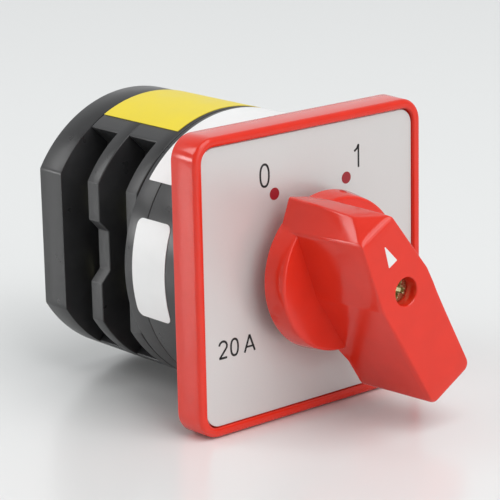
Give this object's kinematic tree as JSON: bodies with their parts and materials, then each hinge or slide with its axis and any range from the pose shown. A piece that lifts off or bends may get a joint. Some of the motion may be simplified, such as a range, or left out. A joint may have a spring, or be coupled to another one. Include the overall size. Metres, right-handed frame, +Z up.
{
  "type": "rotary cam switch",
  "caption": "Panel-mounted rotary cam switch: a square escutcheon with a red bar knob in front, and a round body behind it with side terminals.",
  "frame": {"origin": "where the shaft's axis meets the panel's front surface, which the rim of the escutcheon frame's rear face touches", "axes": "+Y from the knob into the panel along the shaft, +Z up, +X to the right for a person facing the knob"},
  "size_m": [0.048, 0.0671, 0.048],
  "materials": {
    "red_plastic": "smooth moulded red plastic, slightly glossy",
    "silver_plate": "thin metallised plate, satin",
    "black_plastic": "dark moulded thermoset, satin with a faint sheen",
    "cam_plastic": "plain off-white moulded plastic",
    "zinc_steel": "zinc-plated steel with a faint yellow tint",
    "spring_steel": "bright drawn spring steel",
    "contact_copper": "punched copper alloy strip",
    "yellow_label": "yellow film label, satin, blank",
    "white_label": "white film or paint, satin, blank"
  },
  "bodies": {
    "switch_body": {"escutcheon_frame": "red_plastic", "face_plate": "silver_plate", "detent_housing": "black_plastic", "detent_cover": "black_plastic", "stage_housing_front": "black_plastic", "stage_housing_rear": "black_plastic", "rear_cover": "black_plastic", "tie_screw_top": "zinc_steel", "tie_screw_bottom": "zinc_steel", "mounting_screw_1": "zinc_steel", "mounting_screw_2": "zinc_steel", "mounting_screw_3": "zinc_steel", "mounting_screw_4": "zinc_steel", "terminal_screw_front_top_left": "zinc_steel", "terminal_screw_front_top_right": "zinc_steel", "terminal_screw_front_bottom_left": "zinc_steel", "terminal_screw_front_bottom_right": "zinc_steel", "terminal_screw_rear_top_left": "zinc_steel", "terminal_screw_rear_top_right": "zinc_steel", "terminal_screw_rear_bottom_left": "zinc_steel", "terminal_screw_rear_bottom_right": "zinc_steel", "detent_spring_left": "spring_steel", "detent_spring_right": "spring_steel", "contact_spring_front_top": "spring_steel", "contact_spring_front_bottom": "spring_steel", "contact_spring_rear_top": "spring_steel", "contact_spring_rear_bottom": "spring_steel", "terminal_front_top_left": "contact_copper", "terminal_front_top_right": "contact_copper", "terminal_front_bottom_left": "contact_copper", "terminal_front_bottom_right": "contact_copper", "terminal_rear_top_left": "contact_copper", "terminal_rear_top_right": "contact_copper", "terminal_rear_bottom_left": "contact_copper", "terminal_rear_bottom_right": "contact_copper", "yellow_label": "yellow_label", "top_label": "white_label", "side_label": "white_label"},
    "rotor": {"knob": "red_plastic", "pointer_mark": "white_label", "knob_screw": "zinc_steel", "shaft": "zinc_steel", "shaft_bush": "cam_plastic", "stop_disc": "zinc_steel", "detent_wheel": "cam_plastic", "cam_front": "cam_plastic", "cam_rear": "cam_plastic"},
    "contact_front_top": {"follower_front_top": "cam_plastic", "contact_bridge_front_top": "contact_copper"},
    "contact_front_bottom": {"follower_front_bottom": "cam_plastic", "contact_bridge_front_bottom": "contact_copper"},
    "contact_rear_top": {"follower_rear_top": "cam_plastic", "contact_bridge_rear_top": "contact_copper"},
    "contact_rear_bottom": {"follower_rear_bottom": "cam_plastic", "contact_bridge_rear_bottom": "contact_copper"}
  },
  "joints": [
    {"name": "knob_turn", "type": "hinge", "parent": "switch_body", "child": "rotor", "pos_m": [0, 0, 0], "axis": [0, 1, 0], "range_deg": [0, 60], "deforming": ["detent_spring_left", "detent_spring_right"]},
    {"name": "contact_slide_front_top", "type": "slide", "parent": "switch_body", "child": "contact_front_top", "axis": [0, 0, -1], "range_m": [0, 0.00141], "deforming": ["contact_spring_front_top"]},
    {"name": "contact_slide_front_bottom", "type": "slide", "parent": "switch_body", "child": "contact_front_bottom", "axis": [0, 0, 1], "range_m": [0, 0.00141], "deforming": ["contact_spring_front_bottom"]},
    {"name": "contact_slide_rear_top", "type": "slide", "parent": "switch_body", "child": "contact_rear_top", "axis": [0, 0, -1], "range_m": [0, 0.00141], "deforming": ["contact_spring_rear_top"]},
    {"name": "contact_slide_rear_bottom", "type": "slide", "parent": "switch_body", "child": "contact_rear_bottom", "axis": [0, 0, 1], "range_m": [0, 0.00141], "deforming": ["contact_spring_rear_bottom"]}
  ],
  "couplings": [
    {"joint": "contact_slide_front_top", "follows": "knob_turn", "m_per_rad": 0.0013369},
    {"joint": "contact_slide_front_bottom", "follows": "knob_turn", "m_per_rad": 0.0013369},
    {"joint": "contact_slide_rear_top", "follows": "knob_turn", "m_per_rad": 0.0013369},
    {"joint": "contact_slide_rear_bottom", "follows": "knob_turn", "m_per_rad": 0.0013369}
  ]
}
